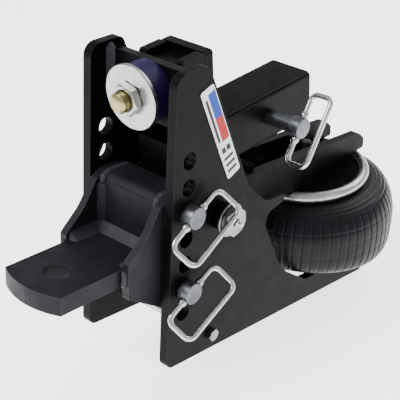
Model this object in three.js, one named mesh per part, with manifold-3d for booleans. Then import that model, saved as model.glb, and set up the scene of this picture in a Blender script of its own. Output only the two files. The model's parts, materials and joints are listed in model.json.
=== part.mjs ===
// Air-cushioned, height-adjustable ball-mount hitch for towing a caravan.
//
// Frame of the part: millimetres, +Z up, +Y forward along the receiver shank into the vehicle,
// -Y back to the trailer, +X to the vehicle's right. The origin is the centre of the receiver-pin
// hole in the shank. Three assemblies share the main pivot:
//   base      the shank, its frame, the bumper bolt and the top plate of the air bag (fixed)
//   rocker    two big side plates, the cross plate and the platform under the air bag
//   ball mount   the adjustable tongue unit, pinned between the rocker's side plates
import * as THREE from 'three';
import { mergeVertices } from 'three/addons/utils/BufferGeometryUtils.js';
import Module from 'manifold-3d';

const wasm = await Module();
wasm.setup();

// ---------------------------------------------------------------- driving dimensions
const GAP = 0.3;                       // clearance between touching pieces
const PITCH = 25.4;                    // pitch of the height-adjustment holes
const HOLE_COUNT = 7;                  // holes in each side plate
const PIN_D = 15.875;                  // 5/8 in hitch pins
const PIN_HOLE_D = 16.7;
const HEAD_D = 20.6;                   // head of each hitch pin
const HEAD_LENGTH = 12.6;
const PIN_GRIP = 130;                  // from under the head to the tip

const ROCKER_WIDTH = 114.3;            // over the side plates
const PLATE = 9.5;                     // side plate thickness
const OUT = ROCKER_WIDTH / 2;          // outer face of a side plate
const INN = OUT - PLATE;               // inner face of a side plate
const TILT = THREE.MathUtils.degToRad(6.5);   // rocker's nose-up attitude with the bag inflated
const PIN_ROW_Y = 19.35;               // hole row behind the front edge, in rocker coordinates
const ROCKER_PIN = [168, -8.5];        // receiver pin in rocker coordinates [y, z]
const PIVOT = [64.5, -67.5];           // main pivot in rocker coordinates [y, z]
const PLATFORM_SLOPE = -0.0472;        // bottom edge and platform of the rocker

const SHANK = 50.8;                    // 2 in receiver shank
const SHANK_WALL = 6.35;
const BASE_HALF = 26.9;                // half width over the base side plates
const BASE_PLATE = 9.3;
const BUMPER_Z = 72.5;                 // bumper bolt above the shank's centreline

const BAG_Y = 92.3;                    // air bag centre behind the receiver pin
const BAG_TOP_Z = -113.6;               // top of the rubber
const BAG_RADIUS = 98;                 // at its widest
const BEAD_RADIUS = 60;
const RIM_RADIUS = 67.8;               // rolled rim of the top bead ring

// ---------------------------------------------------------------- materials
function material(color, metalness, roughness) {
  return new THREE.MeshStandardMaterial({ color, metalness, roughness });
}
const coatedBlack = material(0x1b1c1f, 0.2, 0.45);
const zinc = material(0xc9ccd0, 0.9, 0.35);
const yellowZinc = material(0xb9a25a, 0.85, 0.4);
const steel = material(0xa7a9ac, 0.95, 0.35);
const rubber = material(0x1c1d20, 0.0, 0.75);
const urethane = material(0x43307c, 0.0, 0.5);
const bronze = material(0x9a6b3c, 0.85, 0.4);
const sticker = material(0xeef0f2, 0.0, 0.5);
const plastic = material(0x161616, 0.0, 0.6);

// ---------------------------------------------------------------- helpers
// A closed outline from corners [u, v, radius]; corners with a radius are rounded.
function outline(corners, steps = 6) {
  const points = [];
  corners.forEach(([u, v, r = 0], i) => {
    const corner = new THREE.Vector2(u, v);
    if (!r) {
      points.push(corner);
      return;
    }
    const before = corners[(i + corners.length - 1) % corners.length];
    const after = corners[(i + 1) % corners.length];
    const toBefore = new THREE.Vector2(before[0] - u, before[1] - v).normalize();
    const toAfter = new THREE.Vector2(after[0] - u, after[1] - v).normalize();
    const half = Math.acos(THREE.MathUtils.clamp(toBefore.dot(toAfter), -1, 1)) / 2;
    const start = corner.clone().addScaledVector(toBefore, r / Math.tan(half));
    const end = corner.clone().addScaledVector(toAfter, r / Math.tan(half));
    const inward = toBefore.clone().add(toAfter).normalize();
    const centre = corner.clone().addScaledVector(inward, r / Math.sin(half));
    const a0 = Math.atan2(start.y - centre.y, start.x - centre.x);
    let sweep = Math.atan2(end.y - centre.y, end.x - centre.x) - a0;
    if (sweep > Math.PI) sweep -= 2 * Math.PI;
    if (sweep < -Math.PI) sweep += 2 * Math.PI;
    for (let k = 0; k <= steps; k += 1) {
      const a = a0 + sweep * k / steps;
      points.push(new THREE.Vector2(centre.x + r * Math.cos(a), centre.y + r * Math.sin(a)));
    }
  });
  return points;
}

function roundHole(u, v, diameter, segments = 24) {
  const points = [];
  for (let k = 0; k < segments; k += 1) {
    const a = 2 * Math.PI * k / segments;
    points.push(new THREE.Vector2(u + diameter / 2 * Math.cos(a), v + diameter / 2 * Math.sin(a)));
  }
  return points;
}

function extrude(points, depth, holes = []) {
  const shape = new THREE.Shape(points);
  holes.forEach((hole) => shape.holes.push(new THREE.Path(hole)));
  return new THREE.ExtrudeGeometry(shape, { depth, bevelEnabled: false, steps: 1 });
}

// Flat plates drawn in the YZ, XZ or XY plane.
function plateX(points, x0, x1, holes = []) {
  const geometry = extrude(points, x1 - x0, holes);
  const basis = new THREE.Matrix4().makeBasis(
    new THREE.Vector3(0, 1, 0), new THREE.Vector3(0, 0, 1), new THREE.Vector3(1, 0, 0));
  return geometry.applyMatrix4(basis).translate(x0, 0, 0);
}

function plateY(points, y0, y1, holes = []) {
  const geometry = extrude(points, y1 - y0, holes);
  const basis = new THREE.Matrix4().makeBasis(
    new THREE.Vector3(1, 0, 0), new THREE.Vector3(0, 0, 1), new THREE.Vector3(0, -1, 0));
  return geometry.applyMatrix4(basis).translate(0, y1, 0);
}

function plateZ(points, z0, z1, holes = []) {
  return extrude(points, z1 - z0, holes).translate(0, 0, z0);
}

// Turned shapes: profile [radius, height] about +Z, then laid along X or Y.
function turnedZ(profile, segments = 32) {
  const points = profile.map(([r, h]) => new THREE.Vector2(r, h));
  return new THREE.LatheGeometry(points, segments).rotateX(Math.PI / 2);
}
const turnedX = (profile, segments) => turnedZ(profile, segments).rotateY(Math.PI / 2);
const turnedY = (profile, segments) => turnedZ(profile, segments).rotateX(-Math.PI / 2);

const rod = (r, a, b, c = 0) => [[0, a], [r - c, a], [r, a + c], [r, b - c], [r - c, b], [0, b]]
  .filter((p, i, all) => i === 0 || p[0] !== all[i - 1][0] || p[1] !== all[i - 1][1]);
const sleeve = (inner, outer, a, b) => [[inner, a], [outer, a], [outer, b], [inner, b], [inner, a]];

function hexagonZ(acrossFlats, z0, z1, turn = 0) {
  const corner = acrossFlats / Math.sqrt(3);
  const points = [];
  for (let k = 0; k < 6; k += 1) {
    const a = turn + Math.PI * k / 3;
    points.push(new THREE.Vector2(corner * Math.cos(a), corner * Math.sin(a)));
  }
  return extrude(points, z1 - z0).translate(0, 0, z0);
}

// Boolean joins and cuts.
function solid(geometry) {
  const bare = geometry.clone();
  bare.deleteAttribute('normal');
  bare.deleteAttribute('uv');
  const merged = mergeVertices(bare, 1e-4);
  return new wasm.Manifold(new wasm.Mesh({
    numProp: 3,
    vertProperties: new Float32Array(merged.attributes.position.array),
    triVerts: new Uint32Array(merged.index.array),
  }));
}

function fromSolid(body) {
  const mesh = body.getMesh();
  const geometry = new THREE.BufferGeometry();
  geometry.setAttribute('position', new THREE.BufferAttribute(mesh.vertProperties, 3));
  geometry.setIndex(new THREE.BufferAttribute(mesh.triVerts, 1));
  geometry.computeVertexNormals();
  return geometry;
}

function join(first, ...others) {
  return fromSolid(others.reduce((body, other) => body.add(solid(other)), solid(first)));
}

function cut(first, ...others) {
  return fromSolid(others.reduce((body, other) => body.subtract(solid(other)), solid(first)));
}

function add(group, name, geometry, look) {
  const mesh = new THREE.Mesh(geometry, look);
  mesh.name = name;
  group.add(mesh);
  return mesh;
}

// Rocker coordinates [y, z] to base coordinates, and the group that does the same.
function toBase([y, z]) {
  const dy = y - ROCKER_PIN[0];
  const dz = z - ROCKER_PIN[1];
  return [dy * Math.cos(TILT) + dz * Math.sin(TILT), -dy * Math.sin(TILT) + dz * Math.cos(TILT)];
}

const hitch = new THREE.Group();
const base = new THREE.Group();
const rocker = new THREE.Group();
const [rockerY, rockerZ] = toBase([0, 0]);
rocker.position.set(0, rockerY, rockerZ);
rocker.rotation.x = -TILT;
hitch.add(base, rocker);

const [pivotY, pivotZ] = toBase(PIVOT);

// ---------------------------------------------------------------- base: shank and frame
{
  const half = SHANK / 2;
  const inside = half - SHANK_WALL;
  const section = outline([[-half, -half, 5], [half, -half, 5], [half, half, 5], [-half, half, 5]], 4);
  const bore = outline(
    [[-inside, -inside, 2], [inside, -inside, 2], [inside, inside, 2], [-inside, inside, 2]], 2);
  const tube = plateY(section, -81, 62, [bore]);
  const crossHole = turnedX(rod(PIN_HOLE_D / 2, -60, 60), 28);
  add(base, 'receiver_shank', cut(tube, crossHole), coatedBlack);
}

const SIDE_BACK_Y = -91.3;
const BACK_PLATE = [SIDE_BACK_Y + GAP, -81 - GAP];
add(base, 'base_back_plate', plateY(
  outline([[-BASE_HALF, -34], [BASE_HALF, -34], [BASE_HALF, 98.5, 3], [-BASE_HALF, 98.5, 3]], 3),
  BACK_PLATE[0], BACK_PLATE[1]), coatedBlack);

// Each side plate is the tower for the bumper, the pivot housing and the arm above the air bag.
const PIVOT_TUBE_R = 19;
const baseSide = outline([
  [-119.5, 98.5, 3], [SIDE_BACK_Y, 98.5, 3], [SIDE_BACK_Y, -34.3], [-66, -34.3, 4], [-52, -47, 8],
  [150, -78, 10], [160, -88, 5], [160, -99, 2], [4, -99, 12], [-60, -82, 20], [-100, -76, 14],
  [-131, -66, 12], [-131, -30, 6], [-119.5, -22, 4]], 4);
for (const [name, x0] of [['base_side_left', -BASE_HALF], ['base_side_right', BASE_HALF - BASE_PLATE]]) {
  add(base, name, plateX(baseSide, x0, x0 + BASE_PLATE,
    [roundHole(pivotY, pivotZ, 2 * (PIVOT_TUBE_R + GAP), 36)]), coatedBlack);
}
const webHalf = BASE_HALF - BASE_PLATE - GAP;

add(base, 'base_front_plate', plateY(
  outline([[-BASE_HALF, -19], [BASE_HALF, -19], [BASE_HALF, 16, 2], [-BASE_HALF, 16, 2]], 3),
  -126, -119.5 - GAP), coatedBlack);

add(base, 'base_bumper_wall', plateY(
  outline([[-webHalf, 45], [webHalf, 45], [webHalf, 92], [-webHalf, 92]]),
  -119.4, -110, [roundHole(0, BUMPER_Z, 20, 28)]), coatedBlack);

add(base, 'base_floor_plate', plateZ(
  outline([[-webHalf, -109.6], [webHalf, -109.6], [webHalf, SIDE_BACK_Y], [-webHalf, SIDE_BACK_Y]]),
  85.5, 90.5), coatedBlack);

add(base, 'base_lower_web', plateY(
  outline([[-webHalf, -92], [webHalf, -92], [webHalf, -48], [-webHalf, -48]]),
  -24, -15), coatedBlack);

// ---------------------------------------------------------------- base: pivot housing
add(base, 'pivot_tube', turnedX(sleeve(15.4, PIVOT_TUBE_R, -43, 43), 36)
  .translate(0, pivotY, pivotZ), coatedBlack);
for (const [name, side] of [['pivot_bushing_left', -1], ['pivot_bushing_right', 1]]) {
  const profile = [[9.9, 12], [15.1, 12], [15.1, 43.3], [18.4, 43.3], [18.4, 46.2], [9.9, 46.2], [9.9, 12]];
  add(base, name, turnedX(profile, 32).rotateY(side < 0 ? Math.PI : 0)
    .translate(0, pivotY, pivotZ), bronze);
}

// ---------------------------------------------------------------- base: bumper stack
const WASHER_FRONT_Y = -158.5;
const WASHER_T = 4;
{
  const shaft = turnedY(rod(9.5, WASHER_FRONT_Y - 17, -109.2, 1.2), 24);
  const head = hexagonZ(25, -109.7, -98).rotateX(-Math.PI / 2);
  add(base, 'bumper_bolt', join(shaft, head).translate(0, 0, BUMPER_Z), yellowZinc);

  const nut = cut(hexagonZ(27, WASHER_FRONT_Y - 8.3, WASHER_FRONT_Y - GAP, Math.PI / 6)
    .rotateX(-Math.PI / 2), turnedY(rod(9.8, -200, -100), 24));
  add(base, 'bumper_nut', nut.translate(0, 0, BUMPER_Z), zinc);

  add(base, 'bumper_washer', turnedY(
    sleeve(9.9, 30.2, WASHER_FRONT_Y, WASHER_FRONT_Y + WASHER_T), 48).translate(0, 0, BUMPER_Z), zinc);
}

// Both bumpers end on the cross plate's faces, which lean with the rocker.
const CROSS = { front: 24, back: 33.5, low: 20, high: 75 };
function crossSlab(y0, y1) {
  const slab = new THREE.BoxGeometry(300, y1 - y0, 400);
  slab.translate(0, (y0 + y1) / 2, 0);
  slab.rotateX(-TILT);
  return slab.translate(0, rockerY, rockerZ);
}
const frontBumper = turnedY(sleeve(9.9, 27.6, WASHER_FRONT_Y + WASHER_T + GAP, -120), 44)
  .translate(0, 0, BUMPER_Z);
add(base, 'bumper_front', cut(frontBumper, crossSlab(CROSS.front - GAP, 200)), urethane);
const rearBumper = turnedY(sleeve(9.9, 16.6, -145, -119.5 - GAP), 36).translate(0, 0, BUMPER_Z);
add(base, 'bumper_rear', cut(rearBumper, crossSlab(-200, CROSS.back + GAP)), urethane);

// ---------------------------------------------------------------- base: air bag top
const STUD_Y = [BAG_Y - 34.9, BAG_Y + 34.9];
const VALVE_Y = BAG_Y;
{
  const studHoles = STUD_Y.map((y) => roundHole(0, y, 10.4, 18));
  add(base, 'bag_mount_plate', plateZ(
    outline([[-BASE_HALF, BAG_Y - 47, 6], [BASE_HALF, BAG_Y - 47, 6],
      [BASE_HALF, BAG_Y + 47, 6], [-BASE_HALF, BAG_Y + 47, 6]], 3),
    -105.7, -99 - GAP, [...studHoles, roundHole(0, VALVE_Y, 12, 18)]), coatedBlack);

  const topPlate = turnedZ(sleeve(6, RIM_RADIUS - 12.8, BAG_TOP_Z + GAP, -106), 48).translate(0, BAG_Y, 0);
  const bores = STUD_Y.map((y) => turnedZ(rod(5.2, -120, -100), 18).translate(0, y, 0));
  add(base, 'bag_top_plate', cut(topPlate, ...bores), coatedBlack);

  const rim = roundHole(RIM_RADIUS - 6.2, -107.1, 12.4, 12).map(({ x, y }) => [x, y]);
  add(base, 'bag_top_ring', turnedZ([...rim, rim[0]], 48).translate(0, BAG_Y, 0), zinc);

  STUD_Y.forEach((y, i) => {
    const shaft = turnedZ(rod(4.8, -109.4, -92), 18);
    const head = hexagonZ(14.3, -99, -92.6);
    add(base, i ? 'bag_top_bolt_rear' : 'bag_top_bolt_front',
      join(shaft, head).translate(0, y, 0), zinc);
  });
}
{
  const profile = [[0, -111.5], [4.8, -111.5], [4.8, -99], [7, -99], [7, -95], [4.2, -95], [4.2, -84],
    [3.2, -83], [3.2, -76], [0, -76]];
  add(base, 'air_valve', turnedZ(profile, 18).translate(0, VALVE_Y, 0), bronze);
  const cap = [[3.6, -82.6], [5, -82.6], [5, -73.5], [4, -72.5], [0, -72.5], [0, -75.6], [3.6, -75.6],
    [3.6, -82.6]];
  add(base, 'air_valve_cap', turnedZ([[0, -75.6], [3.6, -75.6], [3.6, -82.6], ...cap.slice(1, 5)], 18)
    .translate(0, VALVE_Y, 0), plastic);
}

// ---------------------------------------------------------------- rocker: side plates
const platformLine = (y, z0) => z0 + PLATFORM_SLOPE * y;
const BOTTOM_Z = -207;                 // bottom edge at the front
const TAIL_TOP_Z = -183.2;             // top edge of the tail, taken back to the front edge
const TAIL_END_Y = 318;
const SPACER = [60.5, -193.5];
const rockerSide = outline([
  [0, BOTTOM_Z, 9],
  [TAIL_END_Y - 3, platformLine(TAIL_END_Y, BOTTOM_Z), 4],
  [TAIL_END_Y, platformLine(TAIL_END_Y, TAIL_TOP_Z)],
  [208, platformLine(208, TAIL_TOP_Z), 12], [174, -170, 30],
  [158, -152, 60], [127, -91, 12], [158, -84.5, 0], [161, -77, 2.5], [131, -76, 24], [103, -51, 24],
  [38.5, 82, 8], [0, 80.5, 12]], 5);
const rockerHoles = [
  roundHole(PIVOT[0], PIVOT[1], 20, 28),
  roundHole(SPACER[0], SPACER[1], 7.2, 16)];
for (let k = 0; k < HOLE_COUNT; k += 1) {
  rockerHoles.push(roundHole(PIN_ROW_Y, -k * PITCH, PIN_HOLE_D, 24));
}
add(rocker, 'side_plate_left', plateX(rockerSide, -OUT, -INN, rockerHoles), coatedBlack);
add(rocker, 'side_plate_right', plateX(rockerSide, INN, OUT, rockerHoles), coatedBlack);

const between = INN - GAP;
add(rocker, 'top_cross_plate', plateY(
  outline([[-between, CROSS.low], [between, CROSS.low], [between, CROSS.high], [-between, CROSS.high]]),
  CROSS.front, CROSS.back, [roundHole(0, 48.3, 27, 32)]), coatedBlack);

// ---------------------------------------------------------------- rocker: platform under the bag
{
  const slope = Math.atan(PLATFORM_SLOPE);
  const platform = new THREE.Group();
  platform.position.set(0, 272, platformLine(272, TAIL_TOP_Z) + GAP);
  platform.rotation.x = slope;
  rocker.add(platform);
  const boltHole = roundHole(0, 0, 13.2, 20);
  add(platform, 'bag_platform', plateZ(outline([[-OUT, -44, 25], [OUT, -44, 25], [OUT, 44, 25],
    [-OUT, 44, 25]], 5), 0, 6.35, [boltHole]), coatedBlack);
  const ring = [[6.8, 6.7], [60, 6.7], [61.5, 8.2], [60, 9.7], [6.8, 9.7], [6.8, 6.7]];
  add(platform, 'bag_bottom_plate', turnedZ(ring, 48), zinc);
  const shaft = turnedZ(rod(6.2, -7, 9.5), 18);
  add(platform, 'bag_bottom_bolt', join(shaft, hexagonZ(19, -8.2, -0.3)), zinc);
}

// ---------------------------------------------------------------- rocker: pivot hardware
const pivotHardware = new THREE.Group();
pivotHardware.position.set(0, PIVOT[0], PIVOT[1]);
rocker.add(pivotHardware);
const BOSS_END = 67;
add(pivotHardware, 'pivot_boss_right', turnedX(
  [[10, OUT + GAP], [13, OUT + GAP], [13, BOSS_END - 1], [12, BOSS_END], [10, BOSS_END],
    [10, OUT + GAP]], 32), coatedBlack);
add(pivotHardware, 'pivot_boss_left', turnedX(
  [[10, -BOSS_END], [12, -BOSS_END], [13, -BOSS_END + 1], [13, -OUT - GAP], [10, -OUT - GAP],
    [10, -BOSS_END]], 32), coatedBlack);
{
  const shaft = turnedX([[0, -86], [8.3, -86], [9.5, -84.8], [9.5, BOSS_END + 4], [0, BOSS_END + 4]], 28);
  const head = hexagonZ(26, BOSS_END + 3.2, BOSS_END + 9.6, Math.PI / 6).rotateY(Math.PI / 2);
  const nipplePort = turnedX(rod(3.2, BOSS_END + 3, BOSS_END + 20), 16);
  add(pivotHardware, 'pivot_bolt', cut(join(shaft, head), nipplePort), zinc);
  const nut = cut(hexagonZ(26, -BOSS_END - 16.4, -BOSS_END - 3.2, Math.PI / 6).rotateY(Math.PI / 2),
    turnedX(rod(9.8, -100, -50), 24));
  add(pivotHardware, 'pivot_nut', nut, zinc);
  const nipple = [[0, BOSS_END + 3.4], [2.9, BOSS_END + 3.4], [2.9, BOSS_END + 10.6],
    [3.6, BOSS_END + 10.6], [3.6, BOSS_END + 12], [1.9, BOSS_END + 13], [2.5, BOSS_END + 14.5],
    [1.6, BOSS_END + 16], [0, BOSS_END + 16]];
  add(pivotHardware, 'pivot_washer_right',
    turnedX(sleeve(9.8, 16.3, BOSS_END + GAP, BOSS_END + 2.9), 36), zinc);
  add(pivotHardware, 'pivot_washer_left',
    turnedX(sleeve(9.8, 16.3, -BOSS_END - 2.9, -BOSS_END - GAP), 36), zinc);
  add(pivotHardware, 'grease_nipple', turnedX(nipple, 16), steel);
}

// ---------------------------------------------------------------- rocker: lower spacer
{
  const spacer = new THREE.Group();
  spacer.position.set(0, SPACER[0], SPACER[1]);
  rocker.add(spacer);
  add(spacer, 'spacer_tube', turnedX(sleeve(3.6, 6.35, -between, between), 20), zinc);
  const shaft = turnedX([[0, -OUT - 8], [2.7, -OUT - 8], [3.2, -OUT - 7.5],
    [3.2, OUT + 1], [0, OUT + 1]], 18);
  const head = hexagonZ(11.1, OUT + GAP, OUT + 5).rotateY(Math.PI / 2);
  add(spacer, 'spacer_bolt', join(shaft, head), zinc);
  add(spacer, 'spacer_nut', cut(hexagonZ(11.1, -OUT - 6.2, -OUT - GAP).rotateY(Math.PI / 2),
    turnedX(rod(3.5, -80, -40), 18)), zinc);
}

// ---------------------------------------------------------------- rocker: plain sticker
{
  const corners = [[43.4, 65.6, 2.5], [27.2, 59.2, 2.5], [71, -33.4, 2.5], [86.8, -26, 2.5]];
  add(rocker, 'side_label', plateX(outline(corners, 4), OUT + GAP, OUT + 0.9), sticker);
}

// ---------------------------------------------------------------- ball mount
const MOUNT_OUT = 44.4;
const MOUNT_PLATE = 7.94;
const TONGUE_HALF = MOUNT_OUT - MOUNT_PLATE - GAP;
const TONGUE_TOP = -92.7;
const TONGUE_T = 17.5;
const BODY_HALF = 31.5;                // the welds fill the rest of the way to the side plates
const BALL_Y = -82.5;
const PINS = [2, 5].map((k) => [PIN_ROW_Y, -k * PITCH]);
{
  const side = outline([
    [-38.5, -120.5, 2], [-39.5, -87, 5], [-17, -67, 60], [-2.5, -43, 5], [10, -36.8, 6], [37, -36.8, 3],
    [37, -151, 8], [6, -147, 8]], 5);
  const holes = PINS.map(([y, z]) => roundHole(y, z, PIN_HOLE_D, 24));
  add(rocker, 'ball_mount_side_left', plateX(side, -MOUNT_OUT, -MOUNT_OUT + MOUNT_PLATE, holes),
    coatedBlack);
  add(rocker, 'ball_mount_side_right', plateX(side, MOUNT_OUT - MOUNT_PLATE, MOUNT_OUT, holes),
    coatedBlack);

  // The tongue's tip is one wide arc.
  const tip = [];
  const tipRadius = 76.5;
  const tipCentre = -118.5 + tipRadius;
  for (let k = 0; k <= 14; k += 1) {
    const a = -Math.asin(TONGUE_HALF / tipRadius) * (1 - k / 7);
    tip.push(new THREE.Vector2(tipRadius * Math.sin(a), tipCentre - tipRadius * Math.cos(a)));
  }
  const tongue = [...tip, new THREE.Vector2(TONGUE_HALF, 30), new THREE.Vector2(-TONGUE_HALF, 30)];
  add(rocker, 'ball_mount_tongue', plateZ(tongue, TONGUE_TOP - TONGUE_T, TONGUE_TOP,
    [roundHole(0, BALL_Y, 25.6, 36)]), coatedBlack);

  // Front and top of the box are one bent plate.
  const bent = outline([
    [3, TONGUE_TOP + GAP], [9, TONGUE_TOP + GAP], [9, -42.2, 3], [36, -42.2], [36, -37], [3, -37, 11]], 6);
  add(rocker, 'ball_mount_body', plateX(bent, -BODY_HALF, BODY_HALF), coatedBlack);
  add(rocker, 'ball_mount_rear_plate', plateY(
    outline([[-TONGUE_HALF, -148], [TONGUE_HALF, -148], [TONGUE_HALF, -42.5], [-TONGUE_HALF, -42.5]]),
    30.3, 36), coatedBlack);
}

// ---------------------------------------------------------------- hitch pins with swivel handles
// A pin lies along X with its head at +X. The wire handle turns in the head about an axis that
// leans by `lean` from +Y, and it stands out at `swing` from +X.
const HANDLE_HALF = 34.5;
const HANDLE_REACH = 28.5;
const WIRE_R = 2.6;
const CLIP_FROM_TIP = 9;

function pinBody(hingeX, underHeadX, lean) {
  const tip = underHeadX - PIN_GRIP;
  const r = PIN_D / 2;
  const profile = [[0, tip], [r - 3, tip], [r, tip + 5], [r, underHeadX], [HEAD_D / 2, underHeadX],
    [HEAD_D / 2, underHeadX + HEAD_LENGTH - 1.2], [HEAD_D / 2 - 1.2, underHeadX + HEAD_LENGTH],
    [0, underHeadX + HEAD_LENGTH]];
  const hingeBore = turnedY(rod(WIRE_R + 0.35, -20, 20), 16).rotateX(lean).translate(hingeX, 0, 0);
  const clipBore = turnedZ(rod(2.2, -20, 20), 12).translate(tip + CLIP_FROM_TIP, 0, 0);
  return cut(turnedX(profile, 28), hingeBore, clipBore);
}

function pinHandle(hingeX, lean, swing) {
  const corners = [[-4.5, 0], [-HANDLE_HALF, 0], [-HANDLE_HALF, HANDLE_REACH],
    [HANDLE_HALF, HANDLE_REACH], [HANDLE_HALF, 0], [4.5, 0]];
  const bend = 8;
  const path = [];
  corners.forEach(([u, w], i) => {
    if (i === 0 || i === corners.length - 1) {
      path.push(new THREE.Vector3(u, 0, w));
      return;
    }
    const [bu, bw] = corners[i - 1];
    const [au, aw] = corners[i + 1];
    const start = new THREE.Vector2(bu - u, bw - w).setLength(bend).add(new THREE.Vector2(u, w));
    const end = new THREE.Vector2(au - u, aw - w).setLength(bend).add(new THREE.Vector2(u, w));
    for (let k = 0; k <= 4; k += 1) {
      const s = k / 4;
      const x = (1 - s) ** 2 * start.x + 2 * s * (1 - s) * u + s ** 2 * end.x;
      const z = (1 - s) ** 2 * start.y + 2 * s * (1 - s) * w + s ** 2 * end.y;
      path.push(new THREE.Vector3(x, 0, z));
    }
  });
  const section = new THREE.Shape(roundHole(0, 0, 2 * WIRE_R, 8));
  const wire = new THREE.ExtrudeGeometry(section, {
    steps: 36, bevelEnabled: false, extrudePath: new THREE.CatmullRomCurve3(path, false, 'centripetal'),
  });
  // Local x lies along the hinge axis, local z points from the hinge to the far bar.
  const axis = new THREE.Vector3(0, Math.cos(lean), Math.sin(lean));
  const droop = new THREE.Vector3(0, Math.sin(lean), -Math.cos(lean));
  const reach = new THREE.Vector3(Math.cos(swing), 0, 0).addScaledVector(droop, Math.sin(swing));
  const normal = new THREE.Vector3().crossVectors(reach, axis);
  wire.applyMatrix4(new THREE.Matrix4().makeBasis(axis, normal, reach));
  return wire.translate(hingeX, 0, 0);
}

// Hairpin clip through the cross hole near a pin's tip: one straight leg, one leg bent round the pin.
function pinClip(tipX) {
  const r = PIN_D / 2 + 1.8;
  const path = [new THREE.Vector3(0, 0, -18), new THREE.Vector3(0, 0, 24)];
  for (let k = 0; k <= 8; k += 1) {
    const a = Math.PI * k / 8;
    path.push(new THREE.Vector3(0, 6 - 6 * Math.cos(a), 30 + 6 * Math.sin(a)));
  }
  path.push(new THREE.Vector3(0, 5, 14));
  for (let k = 0; k <= 6; k += 1) {
    const a = Math.PI * 0.35 - Math.PI * 0.7 * k / 6;
    path.push(new THREE.Vector3(0, r * Math.cos(a), r * Math.sin(a)));
  }
  path.push(new THREE.Vector3(0, 9, -16));
  const section = new THREE.Shape(roundHole(0, 0, 3.4, 8));
  const wire = new THREE.ExtrudeGeometry(section, {
    steps: 44, bevelEnabled: false, extrudePath: new THREE.CatmullRomCurve3(path, false, 'centripetal'),
  });
  return wire.translate(tipX + CLIP_FROM_TIP, 0, 0);
}

const degrees = THREE.MathUtils.degToRad;
const UNDER_HEAD = OUT + GAP;
const hitchPins = [
  ['pin_upper', rocker, PINS[0], UNDER_HEAD, UNDER_HEAD + 8, degrees(33), degrees(52)],
  ['pin_lower', rocker, PINS[1], UNDER_HEAD, UNDER_HEAD + 8, degrees(30), degrees(50)],
  ['receiver_pin', base, [0, 0], 53.4, 61.4, degrees(54), degrees(-16.5)]];
for (const [name, group, [y, z], underHead, hingeX, lean, swing] of hitchPins) {
  add(group, name, pinBody(hingeX, underHead, lean).translate(0, y, z), zinc);
  add(group, `${name}_handle`, pinHandle(hingeX, lean, swing).translate(0, y, z), steel);
  add(group, `${name}_clip`, pinClip(underHead - PIN_GRIP).translate(0, y, z), steel);
}

// ---------------------------------------------------------------- air bag
// Turned about +Z in unit height, then stretched between the sloping bottom plate and the level top.
{
  // The lobe round the bead is a superellipse: full below, where it droops past its seat, and
  // easier above. `inset` gives the inner face of the wall.
  const LOBE_RADIUS = 66;
  const STEPS = 7;
  function lobe(inset) {
    const points = [];
    for (let k = 0; k <= 2 * STEPS; k += 1) {
      const a = -Math.PI / 2 + Math.PI * k / (2 * STEPS);
      const power = 2 / (a < 0 ? 3.2 : 2.3);
      const out = Math.abs(Math.cos(a)) ** power;
      const up = Math.sign(a) * Math.abs(Math.sin(a)) ** power;
      points.push([LOBE_RADIUS + (BAG_RADIUS - LOBE_RADIUS - 80 * inset) * out,
        0.46 + (0.54 - inset) * up]);
    }
    return points;
  }
  const profile = [[0, 0], [BEAD_RADIUS, 0], ...lobe(0), [6.2, 1], [6.2, 0.92], ...lobe(0.08).reverse(),
    [BEAD_RADIUS - 6, 0.08], [0, 0.08]];
  const bag = turnedZ(profile, 40);
  const slope = Math.atan(PLATFORM_SLOPE) - TILT;
  const seat = 10.1;                   // top of the bottom plate above the tail
  const platformCentre = [272, platformLine(272, TAIL_TOP_Z) + GAP];
  const lift = Math.atan(PLATFORM_SLOPE);
  const bottomCentre = toBase([
    platformCentre[0] - seat * Math.sin(lift), platformCentre[1] + seat * Math.cos(lift)]);
  const position = bag.attributes.position;
  for (let i = 0; i < position.count; i += 1) {
    const x = position.getX(i);
    const y = position.getY(i);
    const s = position.getZ(i);
    const lowY = bottomCentre[0] + y * Math.cos(slope);
    const lowZ = bottomCentre[1] + y * Math.sin(slope);
    const highY = BAG_Y + y;
    position.setXYZ(i, x, lowY + (highY - lowY) * s, lowZ + (BAG_TOP_Z - lowZ) * s);
  }
  bag.computeVertexNormals();
  add(base, 'air_bag', bag, rubber);
}

export default hitch;
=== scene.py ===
# Looks for the air-cushioned ball-mount hitch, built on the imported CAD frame.
import json
import math
import random

import bmesh
import bpy
from mathutils import Matrix, Vector


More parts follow.
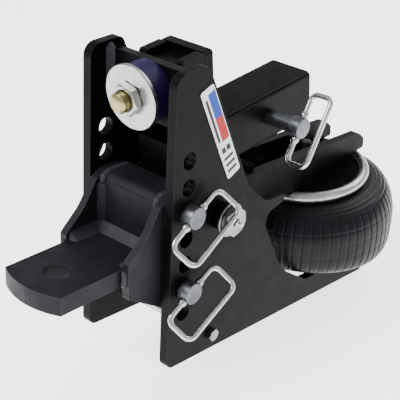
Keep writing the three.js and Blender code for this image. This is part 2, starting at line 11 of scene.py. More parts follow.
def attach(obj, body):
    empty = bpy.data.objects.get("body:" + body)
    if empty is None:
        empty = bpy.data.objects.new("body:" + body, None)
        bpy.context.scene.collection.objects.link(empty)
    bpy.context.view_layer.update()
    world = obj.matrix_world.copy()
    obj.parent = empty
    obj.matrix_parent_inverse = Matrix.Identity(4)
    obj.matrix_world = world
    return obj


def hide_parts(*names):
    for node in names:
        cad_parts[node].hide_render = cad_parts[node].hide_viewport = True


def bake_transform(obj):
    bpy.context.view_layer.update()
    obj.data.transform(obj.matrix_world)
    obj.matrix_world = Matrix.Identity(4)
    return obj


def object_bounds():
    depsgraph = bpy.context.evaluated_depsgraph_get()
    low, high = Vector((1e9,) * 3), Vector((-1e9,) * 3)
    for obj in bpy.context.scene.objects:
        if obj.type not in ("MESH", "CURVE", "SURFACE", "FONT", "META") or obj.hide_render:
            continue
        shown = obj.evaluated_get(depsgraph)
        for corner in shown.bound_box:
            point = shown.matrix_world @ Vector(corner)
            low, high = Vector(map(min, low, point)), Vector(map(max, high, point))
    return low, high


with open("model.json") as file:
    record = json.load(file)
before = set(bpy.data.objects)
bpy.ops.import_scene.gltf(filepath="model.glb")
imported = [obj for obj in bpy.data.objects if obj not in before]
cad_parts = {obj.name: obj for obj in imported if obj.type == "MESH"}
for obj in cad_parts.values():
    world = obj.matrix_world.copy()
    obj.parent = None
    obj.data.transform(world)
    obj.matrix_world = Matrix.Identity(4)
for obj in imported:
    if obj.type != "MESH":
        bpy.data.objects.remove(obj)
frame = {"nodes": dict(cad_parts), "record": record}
cad_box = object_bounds()

# ------------------------------------------------------------------ frames and sizes
MM = 0.001
TILT = math.radians(6.5)               # the rocker's nose-up attitude
PIN_IN_ROCKER = Vector((0, 168, -8.5))
BAG_Y = 92.3
BUMPER_Z = 72.5
WASHER_Y = -158.5                      # front face of the bumper's washer
OUT = 57.15                            # outer face of the side plates
GAP = 0.3                              # between a plate and what rests on it
PLATFORM_SLOPE = -0.0472               # of the platform under the bag, in the rocker's frame
PLATFORM_Y = 272.0                     # its middle
PLATFORM_Z = -183.2 + PLATFORM_SLOPE * PLATFORM_Y + GAP
PLATE_ABOVE = 10.1                     # from the platform's underside to the bag's lower end


def rk(x, y, z):
    """A point given in the rocker's own millimetres, in the part's frame in metres."""
    d = Vector((x, y, z)) - PIN_IN_ROCKER
    c, s = math.cos(TILT), math.sin(TILT)
    return Vector((d.x, d.y * c + d.z * s, -d.y * s + d.z * c)) * MM


# ------------------------------------------------------------------ materials
class Nodes:
    """Short helpers for one material's node tree."""

    def __init__(self, name):
        self.material = bpy.data.materials.new(name)
        self.material.use_nodes = True
        self.tree = self.material.node_tree
        self.shader = self.tree.nodes["Principled BSDF"]
        self.position = self.tree.nodes.new("ShaderNodeTexCoord").outputs["Object"]

    def link(self, source, target):
        self.tree.links.new(source, target)

    def noise(self, scale, detail=3.0, roughness=0.55):
        node = self.tree.nodes.new("ShaderNodeTexNoise")
        node.inputs["Scale"].default_value = scale
        node.inputs["Detail"].default_value = detail
        node.inputs["Roughness"].default_value = roughness
        self.link(self.position, node.inputs["Vector"])
        return node.outputs["Fac"]

    def ramp(self, value, stops):
        node = self.tree.nodes.new("ShaderNodeValToRGB")
        ramp = node.color_ramp
        while len(ramp.elements) < len(stops):
            ramp.elements.new(0.5)
        for element, (place, color) in zip(ramp.elements, stops):
            element.position = place
            element.color = (*color, 1) if len(color) == 3 else color
        self.link(value, node.inputs["Fac"])
        return node.outputs["Color"]

    def grey(self, value, low, high, start=0.35, end=0.65):
        return self.ramp(value, [(start, (low,) * 3), (end, (high,) * 3)])

    def mix(self, factor, a, b):
        node = self.tree.nodes.new("ShaderNodeMix")
        node.data_type = "RGBA"
        self.set(node.inputs[0], factor)
        self.set(node.inputs[6], a)
        self.set(node.inputs[7], b)
        return node.outputs[2]

    def set(self, socket, value):
        if hasattr(value, "is_output"):
            self.link(value, socket)
        elif isinstance(value, tuple) and len(value) == 3:
            socket.default_value = (*value, 1)
        else:
            socket.default_value = value

    def math(self, operation, a, b=0.0):
        node = self.tree.nodes.new("ShaderNodeMath")
        node.operation = operation
        self.set(node.inputs[0], a)
        self.set(node.inputs[1], b)
        return node.outputs[0]

    def bump(self, height, strength, distance):
        node = self.tree.nodes.new("ShaderNodeBump")
        node.inputs["Strength"].default_value = strength
        node.inputs["Distance"].default_value = distance
        self.link(height, node.inputs["Height"])
        self.link(node.outputs["Normal"], self.shader.inputs["Normal"])

    def edges(self, radius):
        """Near 1 on sharp edges, 0 on flats."""
        bevel = self.tree.nodes.new("ShaderNodeBevel")
        bevel.samples = 4
        bevel.inputs["Radius"].default_value = radius
        geometry = self.tree.nodes.new("ShaderNodeNewGeometry")
        dot = self.tree.nodes.new("ShaderNodeVectorMath")
        dot.operation = "DOT_PRODUCT"
        self.link(bevel.outputs["Normal"], dot.inputs[0])
        self.link(geometry.outputs["Normal"], dot.inputs[1])
        return self.math("MULTIPLY", self.math("SUBTRACT", 1.0, dot.outputs["Value"]), 6.0)


def coated_steel(name, shade, gloss, rub_and_highlight, sheen):
    """Black powder coat: fine orange peel, faint dust, lighter edges that are partly rubbed wear and partly a
    painted edge highlight.
    """
    n = Nodes(name)
    cloud = n.noise(14, 4, 0.6)
    dark = (shade * 0.78, shade * 0.81, shade * 1.0)
    base = n.ramp(cloud, [(0.3, dark), (0.7, tuple(1.5 * c for c in dark))])
    speck = n.ramp(n.noise(900, 2, 0.6), [(0.66, (0, 0, 0)), (0.74, (1, 1, 1))])
    base = n.mix(n.math("MULTIPLY", speck, 0.12), base, (0.09, 0.088, 0.083))
    # Edges lightened under a noisy mask: partly rubbed wear, partly a painted edge highlight.
    edge = n.math("MINIMUM", n.math("MULTIPLY", n.edges(0.0007), n.noise(120, 3)), 1.0)
    base = n.mix(n.math("MULTIPLY", edge, rub_and_highlight), base, (0.12, 0.121, 0.128))
    n.set(n.shader.inputs["Base Color"], base)
    n.set(n.shader.inputs["Roughness"], n.grey(n.noise(60, 4), gloss - 0.06, gloss + 0.12))
    n.shader.inputs["Specular IOR Level"].default_value = sheen
    n.bump(n.noise(750, 3, 0.6), 0.22, 0.0003)
    return n.material


def plated(name, light, dark, rough, tint=None):
    """Zinc plate: metal with a cloudy passivated film and fine scratches."""
    n = Nodes(name)
    cloud = n.noise(90, 4, 0.6)
    base = n.ramp(cloud, [(0.32, dark), (0.68, light)])
    if tint:
        base = n.mix(n.ramp(n.noise(55, 2), [(0.45, (0, 0, 0)), (0.7, (0.6, 0.6, 0.6))]), base, tint)
    n.set(n.shader.inputs["Base Color"], base)
    n.shader.inputs["Metallic"].default_value = 1.0
    n.set(n.shader.inputs["Roughness"], n.grey(n.noise(240, 3, 0.6), rough - 0.04, rough + 0.08))
    n.bump(n.noise(700, 2, 0.5), 0.05, 0.0001)
    return n.material


def rubber():
    n = Nodes("rubber")
    base = n.ramp(n.noise(45, 4), [(0.3, (0.0028, 0.0031, 0.0042)), (0.75, (0.0065, 0.0072, 0.0095))])
    n.set(n.shader.inputs["Base Color"], base)
    n.set(n.shader.inputs["Roughness"], n.grey(n.noise(130, 3), 0.30, 0.44))
    n.shader.inputs["Specular IOR Level"].default_value = 0.16
    n.bump(n.noise(1100, 3), 0.25, 0.0003)
    return n.material


def urethane():
    n = Nodes("urethane")
    base = n.ramp(n.noise(60, 3), [(0.3, (0.008, 0.003, 0.030)), (0.7, (0.014, 0.006, 0.050))])
    n.set(n.shader.inputs["Base Color"], base)
    n.set(n.shader.inputs["Roughness"], n.grey(n.noise(200, 3), 0.38, 0.55))
    n.shader.inputs["Specular IOR Level"].default_value = 0.2
    n.bump(n.noise(700, 2), 0.15, 0.0003)
    return n.material


def bronze():
    return plated("bronze", (0.50, 0.31, 0.13), (0.32, 0.18, 0.07), 0.38)


def moulded():
    n = Nodes("moulded_black")
    n.set(n.shader.inputs["Base Color"], n.ramp(n.noise(200, 2), [(0.3, (0.01,) * 3), (0.7, (0.02,) * 3)]))
    n.set(n.shader.inputs["Roughness"], n.grey(n.noise(300, 2), 0.45, 0.6))
    n.bump(n.noise(2500, 2), 0.2, 0.0002)
    return n.material


def vinyl(name, color):
    """Printed vinyl: satin, with a slight mottling."""
    n = Nodes(name)
    darker = tuple(0.86 * c for c in color)
    n.set(n.shader.inputs["Base Color"], n.ramp(n.noise(160, 3), [(0.3, darker), (0.7, color)]))
    n.set(n.shader.inputs["Roughness"], n.grey(n.noise(90, 3), 0.3, 0.45))
    n.shader.inputs["Specular IOR Level"].default_value = 0.2
    n.bump(n.noise(500, 2), 0.08, 0.0002)
    return n.material


def floor_material():
    n = Nodes("floor")
    n.set(n.shader.inputs["Base Color"], n.grey(n.noise(3, 3), 0.90, 0.93, 0.3, 0.7))
    n.shader.inputs["Roughness"].default_value = 0.85
    n.shader.inputs["Emission Color"].default_value = (1, 1, 1, 1)
    n.shader.inputs["Emission Strength"].default_value = 2.4
    return n.material


BLACK = coated_steel("coated_black", 0.0022, 0.32, 0.25, 0.05)
DUSTY = coated_steel("coated_black_dusty", 0.010, 0.46, 0.45, 0.12)
WORN = coated_steel("coated_black_worn", 0.024, 0.5, 0.6, 0.2)
ZINC = plated("zinc", (0.50, 0.49, 0.465), (0.33, 0.33, 0.33), 0.30, (0.42, 0.42, 0.45))
PIN_ZINC = plated("pin_zinc", (0.17, 0.175, 0.185), (0.10, 0.105, 0.115), 0.42)
MID_ZINC = plated("mid_zinc", (0.30, 0.30, 0.295), (0.18, 0.18, 0.18), 0.32)
YELLOW = plated("yellow_zinc", (0.42, 0.36, 0.13), (0.28, 0.24, 0.09), 0.30, (0.36, 0.30, 0.22))
WIRE = plated("steel_wire", (0.56, 0.56, 0.57), (0.36, 0.36, 0.37), 0.26)
RUBBER = rubber()
URETHANE = urethane()
BRONZE = bronze()
MOULDED = moulded()
LABEL_WHITE = vinyl("label_white", (0.80, 0.81, 0.83))
LABEL_BLUE = vinyl("label_blue", (0.008, 0.045, 0.36))
LABEL_RED = vinyl("label_red", (0.42, 0.006, 0.012))
LABEL_DARK = vinyl("label_dark", (0.012, 0.012, 0.016))


# ------------------------------------------------------------------ mesh helpers
def add_mesh(name, verts, faces, material, body, smooth=True):
    mesh = bpy.data.meshes.new(name)
    mesh.from_pydata([tuple(v) for v in verts], [], faces)
    mesh.validate()
    bm = bmesh.new()
    bm.from_mesh(mesh)
    bmesh.ops.recalc_face_normals(bm, faces=bm.faces)
    bm.to_mesh(mesh)
    bm.free()
    if smooth:
        mesh.shade_smooth()
    obj = bpy.data.objects.new(name, mesh)
    bpy.context.scene.collection.objects.link(obj)
    mesh.materials.append(material)
    if body:
        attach(obj, body)
    return obj


def smooth_step(t):
    t = min(1.0, max(0.0, t))
    return t * t * (3 - 2 * t)


def weld_points(obj):
    """Merges the rings of zero radius at the ends of a turned form."""
    bm = bmesh.new()
    bm.from_mesh(obj.data)
    bmesh.ops.remove_doubles(bm, verts=bm.verts, dist=1e-6)
    bmesh.ops.recalc_face_normals(bm, faces=bm.faces)
    bm.to_mesh(obj.data)
    bm.free()


def soften(obj, width, segments=2, angle=30):
    bevel = obj.modifiers.new("edges", "BEVEL")
    bevel.width = width * MM
    bevel.segments = segments
    bevel.limit_method = "ANGLE"
    bevel.angle_limit = math.radians(angle)
    bevel.harden_normals = True
    obj.data.shade_smooth()


def axis_matrix(origin, axis, spin=0.0):
    """Local +Z along axis, at origin (part frame, metres)."""
    turn = Vector(axis).to_track_quat("Z", "Y").to_matrix().to_4x4()
    return Matrix.Translation(origin) @ turn @ Matrix.Rotation(spin, 4, "Z")


def turned(name, profile, place, material, body, segments=64):
    """Revolves [radius, height] in mm about local +Z; the profile runs round the section."""
    verts, faces = [], []
    closed = profile[0] == profile[-1]
    rows = profile[:-1] if closed else profile
    index = []
    for r, h in rows:
        if r < 1e-6:
            index.append([len(verts)])
            verts.append(place @ Vector((0, 0, h * MM)))
            continue
        index.append(list(range(len(verts), len(verts) + segments)))
        for k in range(segments):
            a = 2 * math.pi * k / segments
            verts.append(place @ Vector((r * math.cos(a) * MM, r * math.sin(a) * MM, h * MM)))
    pairs = list(zip(index, index[1:]))
    if closed:
        pairs.append((index[-1], index[0]))
    for low, high in pairs:
        for k in range(segments):
            n = (k + 1) % segments
            a, b = low[k % len(low)], low[n % len(low)]
            c, d = high[n % len(high)], high[k % len(high)]
            corners = []
            for v in (a, b, c, d):
                if v not in corners:
                    corners.append(v)
            if len(corners) > 2:
                faces.append(corners)
    return add_mesh(name, verts, faces, material, body)


def rounded(points, radius=0.6, steps=3):
    """Rounds the corners of a section so that it catches the light. Keeps a closed section closed."""
    closed = points[0] == points[-1]
    rows = points[:-1] if closed else points
    result = []
    for i, p in enumerate(rows):
        if not closed and i in (0, len(rows) - 1):
            result.append(p)
            continue
        a, b = Vector(rows[i - 1]), Vector(rows[(i + 1) % len(rows)])
        p = Vector(p)
        reach = min(radius, (a - p).length * 0.45, (b - p).length * 0.45)
        start = p + (a - p).normalized() * reach
        end = p + (b - p).normalized() * reach
        for k in range(steps + 1):
            s = k / steps
            q = start * (1 - s) ** 2 + p * 2 * s * (1 - s) + end * s ** 2
            result.append((q.x, q.y))
    if closed:
        result.append(result[0])
    return result


def hex_nut(name, across, low, high, bore, place, material, body):
    """A chamfered hexagon from low to high (mm). bore 0 makes a closed bolt head."""
    segments = 72
    inscribed = across / 2 * 0.955
    slope = 0.55                       # how steeply the corners are cut back

    def hexagon(a):
        return across / 2 / math.cos((a % (math.pi / 3)) - math.pi / 6)

    def ring(kind, h):
        row = []
        for k in range(segments):
            a = 2 * math.pi * k / segments
            if kind == "hex":
                r = hexagon(a)
                drop = max(0.0, r - inscribed) * slope
                z = h - drop if h == high else h + drop
            else:
                r, z = kind, h
            row.append((r * math.cos(a), r * math.sin(a), z))
        return row

    if bore:
        rows = [ring(bore, low + 0.8), ring(bore + 0.9, low), ring(inscribed, low), ring("hex", low),
                ring("hex", high), ring(inscribed, high), ring(bore + 0.9, high), ring(bore, high - 0.8)]
    else:
        rows = [ring(0.01, low), ring(inscribed, low), ring("hex", low), ring("hex", high),
                ring(inscribed, high), ring(inscribed * 0.9, high - 0.15), ring(0.01, high - 0.15)]
    verts = [place @ (Vector(p) * MM) for row in rows for p in row]
    faces = []
    count = len(rows)
    last = count if bore else count - 1
    for i in range(last):
        j = (i + 1) % count
        for k in range(segments):
            n = (k + 1) % segments
            faces.append([i * segments + k, i * segments + n, j * segments + n, j * segments + k])
    obj = add_mesh(name, verts, faces, material, body)
    split = obj.modifiers.new("crisp", "EDGE_SPLIT")
    split.split_angle = math.radians(24)
    return obj


def sweep(name, path, radius, material, body, sides=14):
    """A round wire along a path in the part frame (metres). radius in mm, or one per point."""
    points = [Vector(p) for p in path]
    radii = radius if isinstance(radius, list) else [radius] * len(points)
    verts, faces = [], []
    tangent = (points[1] - points[0]).normalized()
    side = tangent.orthogonal().normalized()
    for i, p in enumerate(points):
        t = (points[min(i + 1, len(points) - 1)] - points[max(i - 1, 0)]).normalized()
        side = (side - t * side.dot(t)).normalized()
        other = t.cross(side)
        for k in range(sides):
            a = 2 * math.pi * k / sides
            verts.append(p + (side * math.cos(a) + other * math.sin(a)) * radii[i] * MM)
    count = len(points)
    for i in range(count - 1):
        for k in range(sides):
            n = (k + 1) % sides
            faces.append([i * sides + k, i * sides + n, (i + 1) * sides + n, (i + 1) * sides + k])
    faces.append(list(range(sides)))
    faces.append([(count - 1) * sides + k for k in range(sides)])
    return add_mesh(name, verts, faces, material, body)


def fillet(corners, radius, steps=8):
    """Rounds the inner corners of an open 3D path."""
    result = [Vector(corners[0])]
    for before, p, after in zip(corners, corners[1:], corners[2:]):
        before, p, after = Vector(before), Vector(p), Vector(after)
        a = (before - p).normalized()
        b = (after - p).normalized()
        half = a.angle(b) / 2
        reach = radius / math.tan(half)
        centre = p + (a + b).normalized() * radius / math.sin(half)
        start, end = p + a * reach, p + b * reach
        u, v = (start - centre), (end - centre)
        sweep_angle = u.angle(v)
        for k in range(steps + 1):
            s = k / steps
            w = (u * math.sin((1 - s) * sweep_angle) + v * math.sin(s * sweep_angle)) / math.sin(sweep_angle)
            result.append(centre + w)
    result.append(Vector(corners[-1]))
    return result


def resample(points, step):
    """Points every `step` along a polyline."""
    result = [points[0].copy()]
    carried = 0.0
    for a, b in zip(points, points[1:]):
        length = (b - a).length
        place = step - carried
        while place < length:
            result.append(a.lerp(b, place / length))
            place += step
        carried = length - (place - step)
    result.append(points[-1].copy())
    return result


def weld(name, corners, size, body, seed=1):
    """A welded bead along a path in the part frame (metres): overlapping ripples of slightly uneven width."""
    rng = random.Random(seed)
    path = resample([Vector(c) for c in corners], 0.0008)
    radii = []
    ripple = 2.6
    drift = 0.0
    for i in range(len(path)):
        along = i * 0.8
        drift = 0.9 * drift + rng.uniform(-0.05, 0.05)
        phase = (along / ripple) % 1.0
        swell = 1.0 - 0.16 * phase ** 2
        edge = min(1.0, (i + 1) / 4, (len(path) - i) / 4)
        radii.append(size * (swell + drift) * (0.45 + 0.55 * math.sqrt(edge)))
    look = WORN if name.startswith(("weld_body", "weld_front", "weld_under")) else BLACK
    return sweep(name, path, radii, look, body, sides=12)


# ------------------------------------------------------------------ carried-over CAD nodes
LOOKS = {
    "coated_black": BLACK, "zinc": ZINC, "yellow_zinc": YELLOW, "steel": WIRE, "rubber": RUBBER,
    "urethane": URETHANE, "bronze": BRONZE, "sticker": LABEL_WHITE, "plastic": MOULDED}
slots = {s["node"]: s["material_slot"] for s in frame["record"]["subparts"]}
for node, obj in frame["nodes"].items():
    obj.data.materials.clear()
    worn = node.startswith("ball_mount")
    obj.data.materials.append(DUSTY if worn else LOOKS[slots[node]])
    plate = slots[node] == "coated_black"
    soften(obj, 0.9 if plate else 0.5, 3 if plate else 2, 32)

# ------------------------------------------------------------------ air bag
BAG_TOP = Vector((0, BAG_Y, -113.6))
BEAD = 60.0
LOBE = 66.0
BULGE = 98.0
LIFT = math.atan(PLATFORM_SLOPE)
SLOPE = LIFT - TILT
BAG_BOTTOM = rk(0, PLATFORM_Y - PLATE_ABOVE * math.sin(LIFT),
                PLATFORM_Z + PLATE_ABOVE * math.cos(LIFT)) / MM


def lobe(angle):
    """Radius and share of the height on the bag's lobe: full below, easier above."""
    power = 2 / (3.2 if angle < 0 else 2.3)
    out = abs(math.cos(angle)) ** power
    up = math.copysign(abs(math.sin(angle)) ** power, angle)
    return LOBE + (BULGE - LOBE) * out, 0.46 + 0.54 * up


def air_bag():
    around, up = 610, 110
    ribs = 61
    section = [(0.0, 0.0), (BEAD * 0.5, 0.0), (BEAD, 0.0)]
    section += [lobe(-math.pi / 2 + math.pi * j / up) for j in range(up + 1)]
    section += [(62.0, 1.0), (30.0, 1.0), (0.0, 1.0)]
    verts, faces = [], []
    for r0, s in section:
        outside = smooth_step((r0 - 84) / 7)
        shoulder = smooth_step((r0 - 67) / 3) * (1 - outside) if s > 0.5 else 0.0
        for i in range(around):
            a = 2 * math.pi * i / around
            groove = 1 - math.exp(-(math.sin(ribs * a / 2) / 0.22) ** 2)
            r = r0 - outside * 1.3 * (1 - groove)
            # Three bands run round the side, and finer ones round the shoulder.
            for band in (0.30, 0.50, 0.70):
                r -= outside * 0.45 * math.exp(-((s - band) / 0.012) ** 2)
            r += shoulder * 0.6 * math.sin(r0 * 2 * math.pi / 4.4)
            x, y = r * math.cos(a), r * math.sin(a)
            low = BAG_BOTTOM + Vector((x, y * math.cos(SLOPE), y * math.sin(SLOPE)))
            high = BAG_TOP + Vector((x, y, 0))
            verts.append((low + (high - low) * s) * MM)
    rows = len(section)
    for j in range(rows - 1):
        for i in range(around):
            n = (i + 1) % around
            faces.append([j * around + i, j * around + n, (j + 1) * around + n, (j + 1) * around + i])
    bag = add_mesh("air_bag_ribbed", verts, faces, RUBBER, None)
    weld_points(bag)
    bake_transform(bag)
    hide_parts("air_bag")


air_bag()

# Rolled bead ring: a lip rolled over the rubber, flat in towards the top plate.
ring_profile = []
for step in range(21):
    angle = math.radians(-110 + 300 * step / 20)
    ring_profile.append((61.6 + 6.15 * math.cos(angle), -107.1 + 6.15 * math.sin(angle)))
ring_profile += [(55.6, -109.5), (57.5, -112.4), ring_profile[0]]
ring = turned("rolled_bead_ring", ring_profile, Matrix.Translation((0, BAG_Y * MM, 0)), ZINC, "base", 128)
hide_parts("bag_top_ring")

# ------------------------------------------------------------------ bumper stack
def along_y(y, spin=0.0, z=BUMPER_Z):
    return axis_matrix(Vector((0, y, z)) * MM, (0, 1, 0), spin)


washer_profile = rounded([(9.9, 0), (30.2, 0), (30.2, 4), (9.9, 4), (9.9, 0)], 0.7)
washer = turned("bumper_washer_plate", washer_profile, along_y(WASHER_Y), ZINC, "base", 96)
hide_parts("bumper_washer")

nut = hex_nut("bumper_nut_hex", 27, -8.3, -0.3, 9.8, along_y(WASHER_Y, math.radians(12)), ZINC, "base")
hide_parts("bumper_nut")

# The bolt's thread is a helix-free stack of fine rings, as it reads at this size.
bolt_profile = [(0, -17), (7.4, -17), (9.0, -15.2)]
height = -15.0
while height < -1.0:
    bolt_profile += [(9.45, height), (8.75, height + 0.8)]
    height += 1.6
bolt_profile += [(9.4, 0), (9.4, 48.9), (0, 48.9)]
bolt = turned("bumper_bolt_shaft", bolt_profile, along_y(WASHER_Y), YELLOW, "base", 64)
head = hex_nut("bumper_bolt_head", 25, 48.8, 60.5, 0, along_y(WASHER_Y), YELLOW, "base")
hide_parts("bumper_bolt")

for name in ("bumper_front", "bumper_rear"):
    frame["nodes"][name].data.materials.clear()
    frame["nodes"][name].data.materials.append(URETHANE)

# ------------------------------------------------------------------ hitch pins and swivel handles
HEAD = 12.6


def pin(node, origin, axis_x, body):
    """origin is under the head on the pin's axis; axis_x points out of the head."""
    place = axis_matrix(origin, axis_x)
    outline = [(0, -130), (4.9, -130), (7.94, -125), (7.94, 0), (10.3, 0), (10.3, HEAD), (0, HEAD)]
    profile = rounded(outline, 0.9)
    body_piece = turned(f"{node}_shaft", profile, place, PIN_ZINC, body, 48)
    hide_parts(node)


def handle(node, hinge, lean, swing, body, tilted):
    u = Vector((0, math.cos(lean), math.sin(lean)))
    droop = Vector((0, math.sin(lean), -math.cos(lean)))
    reach = Vector((math.cos(swing), 0, 0)) + droop * math.sin(swing)

    def at(a, b):
        p = Vector(hinge) + u * a + reach * b
        return rk(*p) if tilted else p * MM

    half, length = 34.5, 28.5
    corners = [at(-4.5, 0), at(-half, 0), at(-half, length), at(half, length), at(half, 0), at(4.5, 0)]
    path = fillet(corners, 7.5 * MM, 8)
    wire = sweep(f"{node}_wire", resample(path, 0.0016), 2.6, WIRE, body, 16)
    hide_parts(node)
    # Swaged collars that keep the wire in the pin's head.
    for side in (-1, 1):
        start, end = at(side * 10.6, 0), at(side * 14.4, 0)
        collar = turned(f"{node}_collar_{'a' if side < 0 else 'b'}",
                        rounded([(2.4, 0), (3.9, 0), (4.0, 2.8), (2.7, 5.4), (2.4, 5.4), (2.4, 0)], 0.8),
                        axis_matrix(start, end - start), WIRE, body, 32)


right = Vector((1, 0, 0))
HINGE_X = OUT + GAP + 8
for node, z, lean, swing, body in (
        ("pin_upper", -50.8, 33, 52, "upper_handle"), ("pin_lower", -127.0, 30, 50, "lower_handle")):
    pin(node, rk(OUT + GAP, 19.35, z), right, "rocker")
    handle(f"{node}_handle", (HINGE_X, 19.35, z), math.radians(lean), math.radians(swing), body, True)
pin("receiver_pin", Vector((53.4, 0, 0)) * MM, right, "base")
handle("receiver_pin_handle", (61.4, 0, 0), math.radians(54), math.radians(-16.5), "receiver_handle", False)

# ------------------------------------------------------------------ pivot hardware
PIVOT_Y, PIVOT_Z = 64.5, -67.5
pivot_place = axis_matrix(rk(0, PIVOT_Y, PIVOT_Z), right)
for node, x0, x1 in (("pivot_boss_right", OUT + GAP, 67.0), ("pivot_boss_left", -67.0, -OUT - GAP)):
    boss = turned(f"{node}_turned", rounded([(10, x0), (13, x0), (13, x1), (10, x1), (10, x0)], 0.8),
                  pivot_place, BLACK, "rocker", 64)
    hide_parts(node)
head = hex_nut("pivot_bolt_head", 26, 70.2, 76.6, 3.4, axis_matrix(rk(0, PIVOT_Y, PIVOT_Z), right, 0.3),
               MID_ZINC, "rocker")
for node, x0, x1 in (("pivot_washer_right", 67.3, 69.9), ("pivot_washer_left", -69.9, -67.3)):
    disc = turned(f"{node}_disc", rounded([(9.8, x0), (16.3, x0), (16.3, x1), (9.8, x1), (9.8, x0)], 0.6),
                  pivot_place, MID_ZINC, "rocker", 64)
    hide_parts(node)
shaft = turned("pivot_bolt_shaft", rounded([(0, -86), (8.2, -86), (9.5, -84.4), (9.5, 70.4), (0, 70.4)], 0.6),
               pivot_place, PIN_ZINC, "rocker", 48)
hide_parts("pivot_bolt")
pivot_nut = hex_nut("pivot_nut_hex", 26, -83.4, -70.2, 9.6, pivot_place, ZINC, "rocker")
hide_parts("pivot_nut")

# ------------------------------------------------------------------ lower spacer
spacer_place = axis_matrix(rk(0, 60.5, -193.5), right)
head = hex_nut("spacer_bolt_head", 11.1, OUT + GAP, OUT + 5, 0, spacer_place, MID_ZINC, "rocker")
shaft = turned("spacer_bolt_shaft", [(0, -65), (2.7, -65), (3.2, -64.4), (3.2, 57.8), (0, 57.8)],
               spacer_place, ZINC, "rocker", 32)
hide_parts("spacer_bolt")

# ------------------------------------------------------------------ sticker: generic colour blocks
LABEL_A = Vector((27.2, 59.2))
LABEL_B = Vector((43.4, 65.6))
LABEL_C = Vector((71.0, -33.4))
LABEL_D = Vector((86.8, -26.0))


def on_label(across, along):
    top = LABEL_A.lerp(LABEL_B, across)
    bottom = LABEL_C.lerp(LABEL_D, across)
    return top.lerp(bottom, along)


def label_block(name, a0, a1, l0, l1, material, raise_mm=0.06):
    x = OUT + 0.9
    corners = [on_label(a0, l0), on_label(a1, l0), on_label(a1, l1), on_label(a0, l1)]
    verts = [rk(x, p.x, p.y) for p in corners] + [rk(x + raise_mm, p.x, p.y) for p in corners]
    faces = [[0, 1, 2, 3], [4, 5, 6, 7], [0, 1, 5, 4], [1, 2, 6, 5], [2, 3, 7, 6], [3, 0, 4, 7]]
    block = add_mesh(name, verts, faces, material, "rocker", smooth=False)


label_block("label_block_blue", 0.42, 0.95, 0.06, 0.34, LABEL_BLUE)
label_block("label_block_red", 0.42, 0.95, 0.34, 0.60, LABEL_RED)
label_block("label_bar_long", 0.14, 0.30, 0.10, 0.58, LABEL_DARK)
for number, (l0, l1, a0, a1) in enumerate((
        (0.66, 0.72, 0.18, 0.46), (0.66, 0.72, 0.54, 0.82), (0.77, 0.80, 0.15, 0.85),
        (0.84, 0.87, 0.15, 0.85), (0.91, 0.94, 0.15, 0.85))):
    label_block(f"label_bar_{number}", a0, a1, l0, l1, LABEL_DARK)

# ------------------------------------------------------------------ welds
def rocker_path(*points):
    return [rk(*p) for p in points]


def fillet_weld(name, corners, up, leg_up, leg_out, turn, bend=6.0, seed=1):
    """A concave fillet along a path in a corner, in rocker millimetres. `up` climbs the wall, and
    `turn` says on which side of the path the open floor is."""
    rng = random.Random(seed)
    up = Vector(up)
    path = resample(fillet([Vector(c) for c in corners], bend, 6), 1.0)
    count = len(path)
    across = 9
    verts, faces = [], []
    uneven = [0.0, 0.0]
    for i, p in enumerate(path):
        tangent = (path[min(i + 1, count - 1)] - path[max(i - 1, 0)]).normalized()
        out = tangent.cross(up).normalized() * turn
        uneven = [0.92 * u + rng.uniform(-0.16, 0.16) for u in uneven]
        end = min(1.0, 0.3 + min(i, count - 1 - i) / 5)
        a, b = (leg_up + uneven[0]) * end, (leg_out + uneven[1]) * end
        ripple = 0.22 * math.sin(2 * math.pi * i / 3.1)
        ring = [p - up * 0.8 - out * 0.8, p + up * a - out * 0.8]
        for k in range(across):
            t = k / (across - 1)
            arch = 0.35 * ripple + 0.10 * a * math.sin(math.pi * t)
            ring.append(p + up * (a * (1 - t) ** 1.5 + arch) + out * (b * t ** 1.5 + arch))
        ring.append(p + out * b - up * 0.8)
        verts += [rk(*v) for v in ring]
    row = across + 3
    for i in range(count - 1):
        for k in range(row):
            n = (k + 1) % row
            faces.append([i * row + k, i * row + n, (i + 1) * row + n, (i + 1) * row + k])
    faces.append(list(range(row)))
    faces.append([(count - 1) * row + k for k in range(row)])
    return add_mesh(name, verts, faces, WORN, "rocker")


TOP = -92.7
fillet_weld("weld_tongue", [(-36.2, -37, TOP), (-36.2, 2.8, TOP), (36.2, 2.8, TOP), (36.2, -37, TOP)],
            (0, 0, 1), 7.5, 9.0, 1, 9.0, 3)
for sign, side in ((1, "right"), (-1, "left")):
    x = sign * 36.3
    fillet_weld(f"weld_body_{side}", [(x, 3.4, TOP + 1), (x, 3.4, -46)],
                (-sign, 0, 0), 7.0, 5.0, sign, 3.0, 20 + sign)
    over_corner = ((3.5, -47), (5.2, -41.5), (10, -38.8), (18, -38.6), (35, -38.8))
    weld(f"weld_body_top_{side}", rocker_path(*[(sign * 34, y, z) for y, z in over_corner]),
         4.0, "rocker", 24 + sign)
    weld(f"weld_front_{side}", rocker_path((sign * 38.6, -38.6, TOP - 1), (sign * 38.6, -38.6, TOP - 17)),
         3.6, "rocker", 28 + sign)
    weld(f"weld_under_{side}", rocker_path((sign * 35.2, -36, TOP - 18.4), (sign * 35.2, 26, TOP - 18.4)),
         3.4, "rocker", 32 + sign)
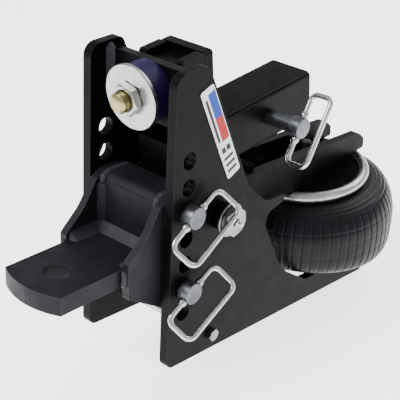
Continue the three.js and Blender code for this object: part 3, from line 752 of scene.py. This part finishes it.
for sign, side in ((1, "right"), (-1, "left")):
    x = sign * 47.2
    weld(f"weld_cross_front_{side}", rocker_path((x, 23.6, 22), (x, 23.6, 73)), 2.2, "rocker", 10 + sign)
    weld(f"weld_cross_back_{side}", rocker_path((x, 33.9, 22), (x, 33.9, 73)), 2.2, "rocker", 14 + sign)
    fillet_weld(f"weld_cross_corner_{side}", [(x, 23.8, 30), (x, 23.8, 79)],
                (-sign, 0, 0), 6.0, 5.0, sign, 3.0, 40 + sign)
    tower = [Vector((sign * 25.4, -90.8, z)) * MM for z in (-30, 94)]
    weld(f"weld_tower_{side}", tower, 1.9, "base", 18 + sign)
for number, (x0, z0, x1, z1) in enumerate((
        (-25, -25.8, 25, -25.8), (25.8, -25, 25.8, 25), (25, 25.8, -25, 25.8), (-25.8, 25, -25.8, -25))):
    ends = [Vector((x0, -80.6, z0)) * MM, Vector((x1, -80.6, z1)) * MM]
    weld(f"weld_shank_{number}", ends, 2.4, "base", 30 + number)

# ------------------------------------------------------------------ stage, light, camera
low = cad_box[0]
floor_mesh = bpy.data.meshes.new("floor")
floor_mesh.from_pydata([(-6, -6, 0), (6, -6, 0), (6, 6, 0), (-6, 6, 0)], [], [(0, 1, 2, 3)])
floor = bpy.data.objects.new("floor", floor_mesh)
floor.location.z = low[2] - 0.0005
bpy.context.scene.collection.objects.link(floor)
floor_mesh.materials.append(floor_material())

world = bpy.data.worlds.new("studio")
bpy.context.scene.world = world
world.use_nodes = True
world.node_tree.nodes["Background"].inputs["Color"].default_value = (0.93, 0.96, 1.0, 1)
world.node_tree.nodes["Background"].inputs["Strength"].default_value = 0.8


def area_light(name, place, target, size, power, color=(1, 1, 1)):
    data = bpy.data.lights.new(name, "AREA")
    data.shape = "RECTANGLE"
    data.size, data.size_y = size
    data.energy = power
    data.color = color
    light = bpy.data.objects.new(name, data)
    light.location = place
    direction = Vector(target) - Vector(place)
    light.rotation_euler = direction.to_track_quat("-Z", "Y").to_euler()
    bpy.context.scene.collection.objects.link(light)


area_light("key", (-0.6, -1.3, 1.5), (0, -0.05, -0.05), (1.0, 0.8), 46)
area_light("side", (1.7, -0.2, 0.7), (0, 0, -0.08), (1.0, 1.0), 2, (0.96, 0.98, 1.0))
area_light("back", (0.2, 1.5, 1.2), (0, 0, 0), (1.4, 0.8), 16)

camera_data = bpy.data.cameras.new("camera")
camera_data.lens = 99.75
camera_data.sensor_width = 36
camera_data.clip_start = 0.01
camera = bpy.data.objects.new("camera", camera_data)
camera.location = (0.63256, -0.74360, 0.48758)
camera.rotation_euler = [math.radians(a) for a in (58.8293, 1.6808, 42.4319)]
bpy.context.scene.collection.objects.link(camera)
bpy.context.scene.camera = camera
